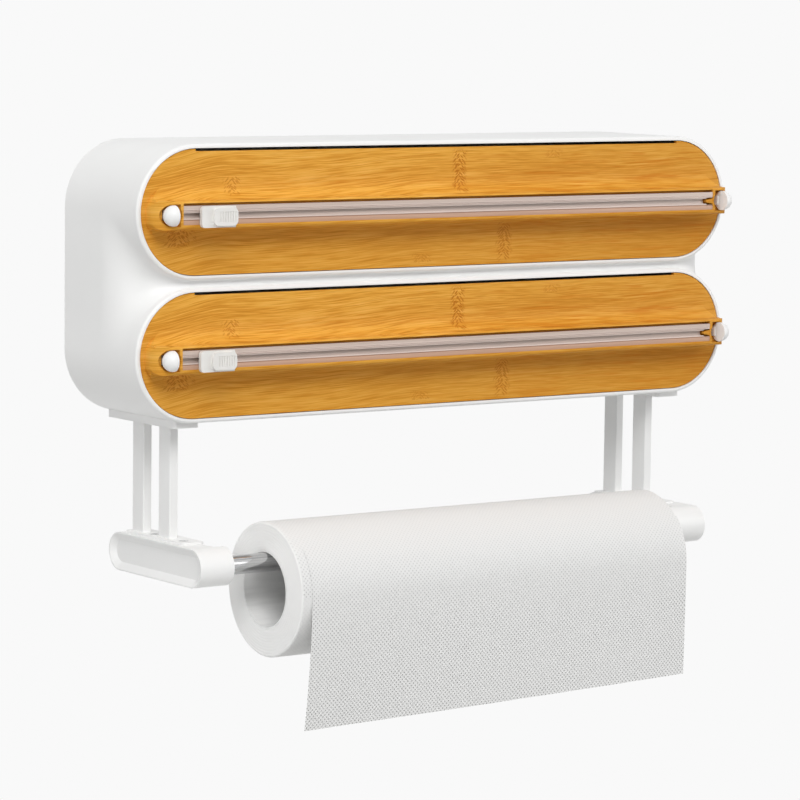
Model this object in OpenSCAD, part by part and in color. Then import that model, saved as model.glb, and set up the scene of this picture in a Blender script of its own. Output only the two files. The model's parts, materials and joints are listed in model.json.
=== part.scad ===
// Wall-mounted cling film and towel dispenser: two film drawers over a paper roll bar
// X runs to the right, the front faces -Y, Z is up; the back face lies on y = 0 and
// the origin is the middle of that face

/* [Cabinet] */
// Inner radius of each film tube
tube_r = 32.65; // [31:0.05:36]
// Gap between the two tubes, at the mouth of the groove
tube_gap = 3.8; // [2:0.1:8]
// Wall of the cabinet shell
wall = 2.25; // [1.8:0.05:2.6]
// Depth of the cabinet from the wall to the rim of its front
cabinet_depth = 72; // [70:0.5:80]
// Rounding of a tube's outer edge round its front
rim_round = 1.6; // [0.8:0.1:1.8]
// Depth of the groove between the two tubes
groove_depth = 12; // [8:0.5:18]
// Plan radius of the waist behind the groove
waist_r = 24; // [16:0.5:30]
// Thickness of the back cover
cover_t = 2.5; // [2:0.1:3]
// Distance between the two keyholes
keyhole_spacing = 240; // [180:1:280]
// Radius of a keyhole's round entry
keyhole_r = 4.5; // [4.2:0.1:5.5]
// Height of the keyholes above the middle of the back
keyhole_z = 52; // [46:1:54]

/* [Drawers] */
// Gap between a front panel and the tube that it closes
panel_gap = 0.35; // [0.3:0.05:0.6]
// Thickness of a front panel
panel_t = 2.5; // [2:0.1:3]
// How far the panel's face stands in from the rim
panel_set = 0.4; // [0.2:0.1:0.8]
// Height of the film slit along a panel's top edge
slit_h = 1.6; // [0.8:0.1:2]
// How far the cutter ridge stands out from the rim
ridge_out = 13.5; // [11:0.1:15]
// Top of the ridge over the middle of its tube
ridge_top = 6.6; // [6.2:0.1:8]
// Underside of the ridge below the middle of its tube
ridge_low = 8; // [7.6:0.1:9]
// Length of film roll that a tray takes
film_len = 309; // [240:1:330]
// Room between a drawer tray and the back cover
tray_room = 6.5; // [4:0.5:20]
// Wall of a drawer tray
tray_wall = 2; // [1.6:0.1:2.4]

/* [Cutter] */
// How far the clear rail runs past the straight part of its tube
rail_over = 15.5; // [10:0.1:16]
// Height of the clear rail
rail_h = 9.7; // [9:0.1:10.4]
// Thickness of the clear rail
rail_t = 3.4; // [3:0.1:4]
// Length of a cutter slider
slider_len = 22; // [20:0.1:30]
// Height of a cutter slider
slider_h = 11; // [10:0.1:12]
// Thickness of a cutter slider's plate in front of the rail
slider_t = 2.2; // [1.8:0.1:3]
// Height of the thumb block on the slider's plate
block_rise = 1.9; // [1.2:0.1:2.6]
// Radius of a release button
button_r = 5.35; // [4.6:0.05:5.6]
// How far a release button is squeezed in
button_travel = 1.6; // [1:0.1:1.8]

/* [Hangers] */
// Clear height between the cabinet and the arm plates
drop = 59.1; // [40:0.5:90]
// Width of a hanger plate
plate_w = 15.4; // [14:0.1:18]
// Thickness of a hanger plate under the cabinet
plate_t = 2.9; // [2.4:0.1:4]
// Width of a post, across the cabinet
post_w = 5; // [4:0.1:6]
// Depth of a post, front to back
post_d = 11.2; // [9:0.1:12]
// Height of an arm
arm_h = 20.2; // [18:0.1:22]
// Thickness of an arm
arm_t = 14.4; // [12:0.1:16]
// Length of a hub along the bar, with the arm's thickness
hub_len = 20.3; // [19:0.1:23]
// How far an arm's outer face lies past the straight part of the tubes
arm_over = 8.4; // [6:0.1:9]

/* [Bar and roll] */
// Radius of the towel bar
bar_r = 5; // [4:0.1:6]
// How far the bar pushes into the left hub to come free
bar_travel = 5.8; // [5:0.1:6]
// Free length of the bar on the left of the paper roll
roll_room_left = 25.1; // [16:0.1:60]
// Free length of the bar on the right of the paper roll
roll_room_right = 13.6; // [8:0.1:60]
// Outer radius of the paper roll
roll_r = 35.5; // [28:0.5:42]
// Inner radius of the cardboard core
core_r = 19.7; // [18:0.1:22]
// Wall of the cardboard core
core_wall = 1.2; // [0.8:0.1:2]
// Left edge of the hanging sheet, in from the roll's left end
tail_inset = 6; // [3:0.5:12]
// Length of the hanging sheet below the roll's axis on its left edge
tail_drop = 70.4; // [50:0.5:90]
// How much shorter the hanging sheet is on its right edge
tail_slant = 7.6; // [2:0.1:12]

/* [Hidden] */
$fn = 96;
// Clearance between pieces that move apart
gap = 0.3;
// Clearance of a pin or screw in its hole
fit = 0.08;
// Overrun of a cut past the face that it opens
over = 1;

white = "white";
bamboo = "goldenrod";
clear = [0.78, 0.72, 0.72, 0.6];
steel = "silver";
paper = "whitesmoke";
card = "dimgray";

// Cabinet shell
end_room = 1.5;
tube_straight = film_len + 2 * (tray_wall + end_room);
tube_out = tube_r + wall;
tube_pitch = 2 * tube_out + tube_gap;
half_straight = tube_straight / 2;
half_w = half_straight + tube_out;
half_h = tube_pitch / 2 + tube_out;
half_pitch = tube_pitch / 2;
rim_y = -cabinet_depth;
waist_y = rim_y + groove_depth;
// Ledge that the back cover rests on, in from the cabinet's outline
ledge_in = 1.2;
cover_seat = -cover_t;
keyhole_slot = 4.6;
keyhole_rise = 8;

// Screws of the back cover and their bosses
boss_r = 3.5;
boss_len = 18;
boss_in = 2.75;
boss_angle = 55;
boss_x = half_straight + (tube_r - boss_in) * cos(boss_angle);
boss_z = (tube_r - boss_in) * sin(boss_angle);
screw_r = 1.4;
head_r = 2.7;
head_t = 1.3;
screw_len = 10;

// Front panels
panel_r = tube_r - panel_gap;
panel_face = rim_y + panel_set;
panel_back = panel_face + panel_t;
ridge_face = rim_y - ridge_out;
ridge_flare = 7;
under_flare = 4;
ridge_corner = 1.6;
ridge_skin = 2.2;

// Clear rail and its recess in the ridge
rail_half = half_straight + rail_over;
rail_top = 4.2;
rail_low = rail_top - rail_h;
rail_set = 0.2;
rail_face = ridge_face + rail_set;
recess_gap = 1.3;
recess_top = rail_top + recess_gap;
recess_y = rail_face + rail_t;
channel_top = 1.2;
channel_low = -2.8;
channel_floor = 1.1;
channel_lip = 0.9;
lip_in = 0.6;
rib_line = 0.5;
notch_len = 5.4;
tongue_clear = 0.5;
divider_t = 1.6;

// Round noses of the ridge
nose_past = 14;
nose_end = rail_half + nose_past;
nose_r = 10;
nose_x = nose_end - nose_r;
nose_corner = 3.6;

// Release buttons: a round cap on the ridge's face with a ball end, sunk in a pocket of the nose
cradle_in = rail_half + divider_t;
button_out = 6.4;
button_x = rail_half + button_out;
button_rise = 0.55;
button_y = ridge_face - button_rise;
button_z = -0.6;
button_skirt = 0.8;
button_clear = 0.35;
stem_w = 3;
stem_h = 5;
stem_in = 1.3;
stem_low = button_x - stem_in;
stem_reach = 6.2;
stem_end = panel_back + stem_reach;
hook_t = 3;
hook_out = 1.2;
keeper_t = 1.8;
keeper_half = 4;
spring_r = 1.3;
spring_wall_t = 0.5;

// Drawer trays on their runners
film_half = film_len / 2;
tray_half = film_half + tray_wall;
standoff = 3.6;
tray_front = panel_back + standoff;
tray_back = cover_seat - tray_room;
trough_d = tray_back - tray_front - 2 * tray_wall;
trough_r = trough_d / 2;
tray_lift = 1.45;
tray_low = -tube_r + tray_lift;
tray_top = 6;
tongue_w = 2.8;
tongue_h = 2;
tongue_rise = 6.65;
tongue_z = tongue_rise - tube_r;
runner_wall = 2;
runner_half = tray_half + tongue_w + gap;
runner_set = 4.5;
runner_front = rim_y + runner_set;
runner_back = cover_seat - gap;
stop_t = 1.6;
stop_h = 4;
stop_rise = 13.65;
stop_z = stop_rise - tube_r;
panel_screw_shares = [-0.906, -0.324, 0.324, 0.906];
panel_screw_rise = 18.65;
panel_screw_z = panel_screw_rise - tube_r;
panel_boss_r = 3.2;
panel_screw_len = 5.4;

// Sliders start near the left end of the rail
slider_park = 9.4;
slider_left = slider_park - rail_half;
slider_below = 1.5;
slider_low = rail_low - slider_below;
slider_back = ridge_face - gap;
slider_face = slider_back - slider_t;
slider_tip = 1.8;
slider_corner = 2;
block_from = 6.2;
block_end = 1.4;
block_edge = 0.9;
block_corner = 2.8;
grip_from = 3.4;
grip_pitch = 1.5;
grip_grooves = 7;
grip_w = 0.6;
grip_deep = 0.35;
foot_from = 3;
foot_len = 15;
blade_t = 0.5;
blade_len = 5;

// Hangers
arm_outer = half_straight + arm_over;
plate_past = 0.6;
side_x = arm_outer - plate_w / 2 + plate_past;
saddle_rise = 3;
plate_set = 5;
plate_back = 0.5;
top_plate_y = [rim_y + plate_set, -plate_back];
arm_plate_y = [-70.4, -12.5];
post_in = 8.8;
post_x = arm_outer - post_in;
// Places along a top plate, from its front to its back
post_shares = [0.308, 0.699];
hanger_screw_shares = [0.135, 0.887];
top_plate_len = top_plate_y[1] - top_plate_y[0];
front_post_y = top_plate_y[0] + post_shares[0] * top_plate_len;
back_post_y = top_plate_y[0] + post_shares[1] * top_plate_len;
post_corner = 0.6;
tenon_in = 1;
tenon_corner = 0.3;
tenon = 1.6;
plate_corner = 2;
top_plate_z = -half_h - plate_t;
arm_plate_z = top_plate_z - drop;
arm_plate_t = 2.5;
arm_plate_w = 13.1;
arm_plate_set = 3.3;
arm_plate_out = arm_outer - arm_plate_set;
arm_plate_in = arm_plate_out - arm_plate_w;
arm_plate_rise = 1.1;
arm_r = arm_h / 2;
arm_z = arm_plate_z - arm_plate_rise - arm_r;
arm_back = -1.8;
bar_y = -83;
dish_t = 2.4;
dish_edge = 0.7;
dish_slope_w = 3.5;
arm_inner = arm_outer - arm_t;
hub_in = arm_outer - hub_len;
hanger_screw_x = side_x;
hanger_screw_y = [for (share = hanger_screw_shares) top_plate_y[0] + share * top_plate_len];
hanger_boss = 2.5;
hanger_boss_h = 5;
arm_screw_in = 8.4;
arm_screw_y = [arm_plate_y[0] + arm_screw_in, (front_post_y + back_post_y) / 2];
arm_screw_len = 9;

// Bar, spring and roll
bar_hole = bar_r + fit;
hub_skin = 2.2;
bore_end = arm_outer - dish_t - hub_skin;
bar_grip = 5;
bar_wall = 1;
bar_right = hub_in + bar_grip;
spring_room = 10.4;
bar_left = -bore_end + spring_room;
plug_len = 8;
bar_spring_r = 4;
bar_spring_wall = 0.9;
roll_len = 2 * hub_in - roll_room_left - roll_room_right;
roll_x = (roll_room_left - roll_room_right) / 2;
roll_z = arm_z + bar_r + gap - core_r;
tail_t = 0.8;
tail_bend = 420;
tail_wrap_angle = 42;

// Two-dimensional shapes
module stadium(half, r) {
    square([2 * half, 2 * r], center = true);
    for (s = [-1, 1]) translate([s * half, 0]) circle(r);
}

module rounded_rect(w, h, r) {
    square([w - 2 * r, h], center = true);
    square([w, h - 2 * r], center = true);
    for (sx = [-1, 1], sy = [-1, 1])
        translate([sx * (w / 2 - r), sy * (h / 2 - r)]) circle(r);
}

// A box given by its low and high corners
module span(low, high) {
    translate(low) cube(high - low);
}

// Extrusions of a drawing along one axis, from a to b
module along_y(a, b) {
    translate([0, b, 0]) rotate([90, 0, 0]) linear_extrude(b - a) children();
}

module along_x(a, b) {
    translate([a, 0, 0]) rotate([90, 0, 90]) linear_extrude(b - a) children();
}

module along_z(a, b) {
    translate([0, 0, a]) linear_extrude(b - a) children();
}

// A rod with its axis along X or Y
module rod_x(a, b, r) {
    along_x(a, b) circle(r);
}

module rod_y(a, b, r) {
    along_y(a, b) circle(r);
}

// Cabinet
module cabinet_outline(inset) {
    rounded_rect(2 * (half_w - inset), 2 * (half_h - inset), tube_out - inset);
}

module waist_plan(inset) {
    x = half_w - inset;
    r = waist_r - inset;
    y = waist_y + inset;
    translate([-x, y + r]) square([2 * x, -(y + r)]);
    translate([-(x - r), y]) square([2 * (x - r), r]);
    for (s = [-1, 1]) translate([s * (x - r), y + r]) circle(r);
}

module waist(inset) {
    intersection() {
        along_y(waist_y + inset, 0) cabinet_outline(inset);
        along_z(-half_pitch, half_pitch) waist_plan(inset);
    }
}

module tubes(r, a, b) {
    for (s = [-1, 1]) translate([0, 0, s * half_pitch]) along_y(a, b) stadium(half_straight, r);
}

// A tube's outer body, its edge rounded round the front
module tube_bodies() {
    r = rim_round;
    for (s = [-1, 1]) translate([0, 0, s * half_pitch]) {
        along_y(rim_y + r, 0) stadium(half_straight, tube_out);
        along_y(rim_y, rim_y + r + over) stadium(half_straight, tube_out - r);
        for (e = [-1, 1]) {
            translate([0, rim_y + r, e * (tube_out - r)]) rod_x(-half_straight, half_straight, r);
            translate([e * half_straight, rim_y + r, 0]) rotate([90, 0, 0])
                rotate_extrude() translate([tube_out - r, 0]) circle(r);
        }
    }
}

module runner() {
    for (s = [-1, 1]) {
        x_in = s * (tray_half + gap);
        x_web = s * runner_half;
        x_out = s * (runner_half + runner_wall);
        under = tongue_z - tongue_h / 2 - gap;
        top = tongue_z + tongue_h / 2 + gap;
        span([min(x_in, x_out), runner_front, -tube_r - wall / 2],
            [max(x_in, x_out), runner_back, under]);
        span([min(x_web, x_out), runner_front, -tube_r - wall / 2],
            [max(x_web, x_out), runner_back, top + runner_wall]);
        span([min(x_in, x_out), runner_front, top],
            [max(x_in, x_out), runner_back, top + runner_wall]);
        // Stop that meets the tray's lug at the end of the pull
        span([min(x_in, x_out), runner_front, top],
            [max(x_in, x_out), runner_front + stop_t, stop_z + stop_h]);
    }
}

module keepers() {
    y = stem_end - hook_t - gap - keeper_t;
    tip = stem_low + stem_w + hook_out + gap;
    for (s = [-1, 1])
        span([min(s * tip, s * (half_w - wall / 2)), y, -keeper_half],
            [max(s * tip, s * (half_w - wall / 2)), y + keeper_t, keeper_half]);
}

module cover_bosses() {
    for (sx = [-1, 1], sz = [-1, 1])
        translate([sx * boss_x, 0, sz * boss_z]) rod_y(cover_seat - boss_len, cover_seat, boss_r);
}

module cover_boss_holes() {
    for (sx = [-1, 1], sz = [-1, 1])
        translate([sx * boss_x, 0, sz * boss_z])
            rod_y(cover_seat - screw_len, over, screw_r + fit);
}

module hanger_holes(r) {
    for (s = [-1, 1], y = hanger_screw_y) translate([s * hanger_screw_x, y, 0])
        along_z(-half_h - over, -half_h + wall + hanger_boss_h - fit) circle(r);
}

module housing() {
    color(white) difference() {
        union() {
            difference() {
                union() {
                    tube_bodies();
                    waist(0);
                }
                difference() {
                    waist(wall);
                    tubes(tube_out, rim_y, over);
                }
                tubes(tube_r, rim_y - over, over);
            }
            for (s = [-1, 1]) translate([0, 0, s * half_pitch]) {
                runner();
                keepers();
                cover_bosses();
            }
            for (s = [-1, 1], y = hanger_screw_y) translate([s * hanger_screw_x, y, 0])
                along_z(-half_h + wall / 2, -half_h + wall + hanger_boss_h) circle(hanger_boss);
        }
        along_y(cover_seat, over) cabinet_outline(ledge_in);
        for (s = [-1, 1]) translate([0, 0, s * half_pitch]) cover_boss_holes();
        hanger_holes(screw_r + fit);
    }
}

module keyhole() {
    circle(keyhole_r);
    translate([-keyhole_slot / 2, 0]) square([keyhole_slot, keyhole_rise]);
    translate([0, keyhole_rise]) circle(keyhole_slot / 2);
}

module back_cover() {
    color(white) difference() {
        along_y(cover_seat, 0) cabinet_outline(ledge_in + gap);
        for (s = [-1, 1]) translate([s * keyhole_spacing / 2, 0, keyhole_z])
            along_y(cover_seat - over, over) keyhole();
        for (sx = [-1, 1], sz = [-1, 1], s = [-1, 1])
            translate([sx * boss_x, 0, s * half_pitch + sz * boss_z]) {
                rod_y(cover_seat - over, over, screw_r + fit);
                rod_y(-head_t - fit, over, head_r + fit);
            }
    }
}

module back_cover_screws() {
    color(steel) for (sx = [-1, 1], sz = [-1, 1], s = [-1, 1])
        translate([sx * boss_x, 0, s * half_pitch + sz * boss_z]) {
            rod_y(cover_seat - screw_len + over, -fit, screw_r);
            rod_y(-head_t, -fit, head_r);
        }
}

// Front panel with its cutter ridge, drawn about the tube's axis
module ridge_section() {
    depth = panel_back - ridge_face;
    translate([ridge_face + depth / 2, (ridge_top - ridge_low) / 2])
        rounded_rect(depth, ridge_top + ridge_low, ridge_corner);
}

// Hollow fillets that lead from the panel into the ridge, above and below it
module flare_section() {
    difference() {
        translate([panel_face - ridge_flare, ridge_top - ridge_corner])
            square([ridge_flare + panel_t, ridge_flare + ridge_corner]);
        translate([panel_face - ridge_flare, ridge_top + ridge_flare]) circle(ridge_flare);
    }
    difference() {
        translate([panel_face - under_flare, -ridge_low - under_flare])
            square([under_flare + panel_t, under_flare + ridge_corner]);
        translate([panel_face - under_flare, -ridge_low - under_flare]) circle(under_flare);
    }
}

// Plan of the ridge with its round noses
module ridge_plan(shift) {
    depth = panel_back - ridge_face - shift;
    far = nose_end - shift;
    translate([-nose_x, ridge_face + shift]) square([2 * nose_x, depth]);
    translate([-far, ridge_face + nose_r]) square([2 * far, panel_back - ridge_face - nose_r]);
    for (s = [-1, 1]) translate([s * nose_x, ridge_face + nose_r]) circle(nose_r - shift);
}

module ridge() {
    tall = ridge_top + ridge_low;
    intersection() {
        along_x(-nose_end, nose_end) ridge_section();
        along_z(-panel_r, panel_r) ridge_plan(0);
        translate([0, 0, (ridge_top - ridge_low) / 2]) along_y(ridge_face - over, panel_back)
            rounded_rect(2 * nose_end, tall, nose_corner);
    }
    x = nose_end - ridge_corner;
    high = ridge_top + ridge_flare;
    low = -ridge_low - under_flare;
    intersection() {
        along_x(-x, x) flare_section();
        // Mitred ends of the flares
        along_y(ridge_face - over, panel_back) polygon([
            [-x, -ridge_low], [-x, ridge_top], [ridge_flare - x, high], [x - ridge_flare, high],
            [x, ridge_top], [x, -ridge_low], [x - under_flare, low], [under_flare - x, low]]);
    }
}

// Pocket of a button, and the slot in its floor for the stem and hook
module cradle_plan() {
    r = button_r + button_clear;
    translate([cradle_in, -r]) square([button_x - cradle_in, 2 * r]);
    translate([button_x, 0]) circle(r);
}

module cradle_cut(s) {
    low = stem_low - button_travel - gap;
    high = stem_low + stem_w + hook_out + gap;
    floor_y = button_y + button_r + button_clear;
    mirror([s < 0 ? 1 : 0, 0, 0]) translate([0, 0, button_z]) {
        along_y(button_y - 2 * button_r, floor_y) cradle_plan();
        span([low, floor_y - over, -stem_h / 2 - gap], [high, panel_back + over, stem_h / 2 + gap]);
    }
}

// Wall behind the panel that a button's spring pushes from
module spring_wall(s) {
    span([min(s * rail_half, s * cradle_in), panel_back - over, button_z - stem_h / 2],
        [max(s * rail_half, s * cradle_in), stem_end, button_z + stem_h / 2]);
}

module tongue(s) {
    mid = (channel_top + channel_low) / 2;
    tall = (channel_top - channel_low) / 2 - tongue_clear;
    point = tall / 2;
    translate([0, recess_y, 0]) rotate([90, 0, 0]) linear_extrude(rail_t)
        polygon([[s * (rail_half + divider_t / 2), mid - tall],
            [s * (rail_half + divider_t / 2), mid + tall],
            [s * (rail_half - notch_len + 2 * tongue_clear), mid + point],
            [s * (rail_half - notch_len + tongue_clear), mid],
            [s * (rail_half - notch_len + 2 * tongue_clear), mid - point]]);
}

module front_panel() {
    color(bamboo) {
        difference() {
            union() {
                along_y(panel_face, panel_back) stadium(half_straight, panel_r);
                intersection() {
                    along_y(ridge_face - over, panel_back) stadium(half_straight, panel_r);
                    ridge();
                }
                for (share = panel_screw_shares) translate([share * film_half, 0, panel_screw_z])
                    rod_y(panel_face + panel_t / 2, tray_front, panel_boss_r);
            }
            // Film slit along the top edge
            span([-half_straight, panel_face - over, panel_r - slit_h + panel_gap],
                [half_straight, panel_back + over, panel_r + over]);
            // Recess of the clear rail, open above it
            span([-rail_half, ridge_face - over, rail_low], [rail_half, recess_y, recess_top]);
            // Hollow behind the ridge
            span([-rail_half, recess_y + ridge_skin, -ridge_low + ridge_skin],
                [rail_half, panel_back + over, ridge_top - ridge_skin]);
            for (s = [-1, 1]) cradle_cut(s);
            for (share = panel_screw_shares) translate([share * film_half, 0, panel_screw_z])
                rod_y(tray_front - standoff, tray_front + over, screw_r + fit);
        }
        tongue(1);
        for (s = [-1, 1]) spring_wall(s);
    }
}

module panel_screws() {
    color(steel) for (share = panel_screw_shares) translate([share * film_half, 0, panel_screw_z]) {
        rod_y(tray_front - standoff + fit, tray_front + tray_wall + head_t, screw_r);
        rod_y(tray_front + tray_wall, tray_front + tray_wall + head_t, head_r);
    }
}

// Tray with a round trough for the film roll
module trough_section(r, floor_z) {
    mid = tray_front + tray_wall + trough_r;
    intersection() {
        translate([mid, floor_z + r]) circle(r);
        translate([mid - r, floor_z]) square([2 * r, r]);
    }
    translate([mid - r, floor_z + r]) square([2 * r, tray_top - floor_z - r]);
}

module drawer_tray() {
    color(white) difference() {
        union() {
            along_x(-tray_half, tray_half) trough_section(trough_r + tray_wall, tray_low);
            for (s = [-1, 1]) {
                a = s * film_half;
                b = s * tray_half;
                c = s * (tray_half + tongue_w);
                span([min(a, b), tray_front, tray_low], [max(a, b), tray_back, tray_top]);
                span([min(b, c), tray_front, tongue_z - tongue_h / 2],
                    [max(b, c), tray_back, tongue_z + tongue_h / 2]);
                // Lug at the tray's back that meets the runner's stop at the end of the pull
                span([min(b, c), tray_back - stop_t, stop_z], [max(b, c), tray_back, stop_z + stop_h - gap]);
            }
            span([-tray_half, tray_front, panel_screw_z - 2 * head_r],
                [tray_half, tray_front + tray_wall, tray_top]);
        }
        along_x(-film_half, film_half) {
            trough_section(trough_r, tray_low + tray_wall);
            translate([tray_front + tray_wall, tray_top - over]) square([trough_d, 2 * over]);
        }
        for (share = panel_screw_shares) translate([share * film_half, 0, panel_screw_z]) {
            rod_y(tray_front - over, tray_front + tray_wall + over, screw_r + fit);
            rod_y(tray_front + tray_wall, tray_front + tray_wall + standoff, head_r + gap);
        }
    }
}

// Clear rail: two bands and a lipped channel between them for the slider's foot
module rail_section() {
    difference() {
        translate([rail_face, rail_low]) square([rail_t, rail_h]);
        translate([rail_face + channel_lip, channel_low])
            square([rail_t - channel_floor - channel_lip, channel_top - channel_low]);
        translate([rail_face - over, channel_low + lip_in])
            square([rail_t - channel_floor + over, channel_top - channel_low - 2 * lip_in]);
        for (z = [channel_low - rib_line, channel_top + rib_line])
            translate([rail_face, z]) circle(rib_line / 2);
    }
}

module cutter_rail() {
    mid = (channel_top + channel_low) / 2;
    tall = (channel_top - channel_low) / 2;
    color(clear) difference() {
        along_x(-rail_half, rail_half) rail_section();
        translate([rail_half, 0, mid]) {
            span([-notch_len + tall, rail_face - over, -tall],
                [notch_len - tall, recess_y + over, tall]);
            translate([tall - notch_len, 0, 0]) rod_y(rail_face - over, recess_y + over, tall);
        }
    }
}

// Slider with a pointed leading end, a grooved thumb block and a foot in the rail
module slider_front() {
    x = slider_left;
    top = slider_low + slider_h;
    r = slider_corner;
    tip = slider_len - slider_tip;
    polygon([[x + r, slider_low], [x + tip, slider_low], [x + slider_len, slider_low + slider_h / 2],
        [x + tip, top], [x + r, top]]);
    translate([x, slider_low + r]) square([2 * r, slider_h - 2 * r]);
    for (z = [slider_low + r, top - r]) translate([x + r, z]) circle(r);
}

module thumb_block() {
    low = slider_left + block_from;
    high = slider_left + slider_len - block_end;
    tall = slider_h - 2 * block_edge;
    difference() {
        translate([(low + high) / 2, 0, slider_low + slider_h / 2])
            along_y(slider_face - block_rise, slider_face + over / 2)
                rounded_rect(high - low, tall, block_corner);
        for (i = [0:grip_grooves - 1]) {
            x = low + grip_from + grip_pitch * i;
            span([x, slider_face - block_rise - over, slider_low + block_corner],
                [x + grip_w, slider_face - block_rise + grip_deep, slider_low + slider_h - block_corner]);
        }
    }
}

module slider_foot() {
    lip = rail_face + channel_lip;
    low = channel_low + gap;
    high = channel_top - gap;
    x = slider_left + foot_from;
    span([x, slider_back - over, low + lip_in], [x + foot_len, lip + over, high - lip_in]);
    span([x, lip + gap, low], [x + foot_len, recess_y - channel_floor - gap, high]);
}

module slider() {
    color(white) difference() {
        union() {
            along_y(slider_face, slider_back) slider_front();
            slider_foot();
            thumb_block();
        }
        blade_plate(fit);
    }
}

module blade_plate(grow) {
    mid = (channel_top + channel_low) / 2;
    x = slider_left + foot_from + foot_len - blade_len;
    y = slider_back - slider_t / 2;
    deep = recess_y - channel_floor - 2 * gap;
    translate([0, 0, mid - blade_t / 2 - grow]) linear_extrude(blade_t + 2 * grow)
        polygon([[x - grow, y - grow], [x + blade_len + grow, y - grow],
            [x + blade_len + grow, y + grow + slider_t / 4], [x + 2 * blade_len / 5, deep + grow],
            [x - grow, deep + grow]]);
}

module slider_blade() {
    color(steel) blade_plate(0);
}

// Release button: a round cap with a ball end, a stem through the panel and a hook
module button() {
    color(white) translate([0, 0, button_z]) {
        translate([0, button_y, 0]) {
            rod_x(button_x - button_skirt, button_x, button_r);
            difference() {
                translate([button_x, 0, 0]) sphere(button_r);
                span([button_x - button_r - over, -button_r - over, -button_r - over],
                    [button_x, button_r + over, button_r + over]);
            }
        }
        span([stem_low, button_y + button_r / 2, -stem_h / 2], [stem_low + stem_w, stem_end, stem_h / 2]);
        span([stem_low, stem_end - hook_t, -stem_h / 2],
            [stem_low + stem_w + hook_out, stem_end, stem_h / 2]);
    }
}

module button_spring() {
    color(steel) translate([0, stem_end - hook_t / 2, button_z]) difference() {
        rod_x(cradle_in, stem_low - fit, spring_r);
        rod_x(cradle_in - over, stem_low + over, spring_r - spring_wall_t);
    }
}

module in_tube(side, upper) {
    translate([0, 0, upper * half_pitch]) mirror([side < 0 ? 1 : 0, 0, 0]) children();
}

// Hangers
module side_plate(low_x, high_x, ys, z, t, r) {
    along_z(z, z + t) translate([(low_x + high_x) / 2, (ys[0] + ys[1]) / 2])
        rounded_rect(high_x - low_x, ys[1] - ys[0], r);
}

module post_shape(inset) {
    rounded_rect(post_w - 2 * inset, post_d - 2 * inset, inset > 0 ? tenon_corner : post_corner);
}

module tenons(z, grow) {
    for (y = [front_post_y, back_post_y]) translate([post_x, y, 0])
        along_z(z, z + tenon) post_shape(tenon_in - grow);
}

module top_plate() {
    color(white) difference() {
        side_plate(side_x - plate_w / 2, side_x + plate_w / 2, top_plate_y, top_plate_z,
            plate_t + saddle_rise, plate_corner);
        // Saddle that follows the cabinet's round underside
        translate([0, 0, -half_pitch]) along_y(rim_y - over, over) stadium(half_straight, tube_out);
        tenons(top_plate_z, fit);
        for (y = hanger_screw_y) translate([hanger_screw_x, y, 0]) {
            along_z(top_plate_z - over, -half_h + over) circle(screw_r + fit);
            along_z(top_plate_z - over, top_plate_z + head_t + fit) circle(head_r + fit);
        }
    }
}

module post(y) {
    color(white) translate([post_x, y, 0]) {
        along_z(arm_plate_z, top_plate_z) post_shape(0);
        along_z(arm_plate_z - tenon + fit, top_plate_z + tenon - fit) post_shape(tenon_in);
    }
}

module arm_plate() {
    color(white) difference() {
        side_plate(arm_plate_in, arm_plate_out, arm_plate_y, arm_plate_z - arm_plate_t,
            arm_plate_t, plate_corner);
        tenons(arm_plate_z - tenon, fit);
        for (y = arm_screw_y) translate([post_x, y, 0]) {
            along_z(arm_plate_z - arm_plate_t - over, arm_plate_z + over) circle(screw_r + fit);
            along_z(arm_plate_z - head_t - fit, arm_plate_z + over) circle(head_r + fit);
        }
    }
}

module arm_side() {
    half = (arm_back - arm_r - bar_y) / 2;
    translate([bar_y + half, arm_z]) stadium(half, arm_r);
}

// Dish in an arm's outer face: a flat floor with sloped sides all round
module arm_dish() {
    r_out = arm_r - dish_edge;
    r_in = r_out - dish_slope_w;
    r_far = r_out + over * dish_slope_w / dish_t;
    low = arm_outer - dish_t;
    high = arm_outer + over;
    back = arm_back - arm_r;
    for (y = [bar_y, back]) translate([low, y, arm_z]) rotate([0, 90, 0]) cylinder(high - low, r_in, r_far);
    translate([0, 0, arm_z]) along_y(bar_y, back)
        polygon([[low, -r_in], [high, -r_far], [high, r_far], [low, r_in]]);
}

module arm() {
    color(white) difference() {
        union() {
            along_x(arm_inner, arm_outer) arm_side();
            translate([0, bar_y, arm_z]) rod_x(hub_in, arm_outer, arm_r);
        }
        arm_dish();
        translate([0, bar_y, arm_z]) rod_x(hub_in - over, bore_end, bar_hole);
        // Seat of the arm plate
        span([arm_inner - over, arm_plate_y[0] - fit, arm_plate_z - arm_plate_t],
            [arm_plate_out + fit, arm_plate_y[1] + fit, arm_z + arm_h]);
        for (y = arm_screw_y) translate([post_x, y, 0])
            along_z(arm_plate_z - arm_screw_len, arm_plate_z + over) circle(screw_r + fit);
    }
}

module top_plate_screws() {
    color(steel) for (s = [-1, 1], y = hanger_screw_y) translate([s * hanger_screw_x, y, 0]) {
        along_z(top_plate_z + fit, -half_h + wall + hanger_boss_h - over) circle(screw_r);
        along_z(top_plate_z + fit, top_plate_z + head_t) circle(head_r);
    }
}

module arm_screws() {
    color(steel) for (s = [-1, 1], y = arm_screw_y) translate([s * post_x, y, 0]) {
        along_z(arm_plate_z - arm_screw_len + over, arm_plate_z - fit) circle(screw_r);
        along_z(arm_plate_z - head_t, arm_plate_z - fit) circle(head_r);
    }
}

// Towel bar, its end plugs and the spring behind its left end
module towel_bar() {
    color(steel) translate([0, bar_y, arm_z]) difference() {
        rod_x(bar_left, bar_right, bar_r);
        rod_x(bar_left - over, bar_right + over, bar_r - bar_wall);
    }
}

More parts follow.
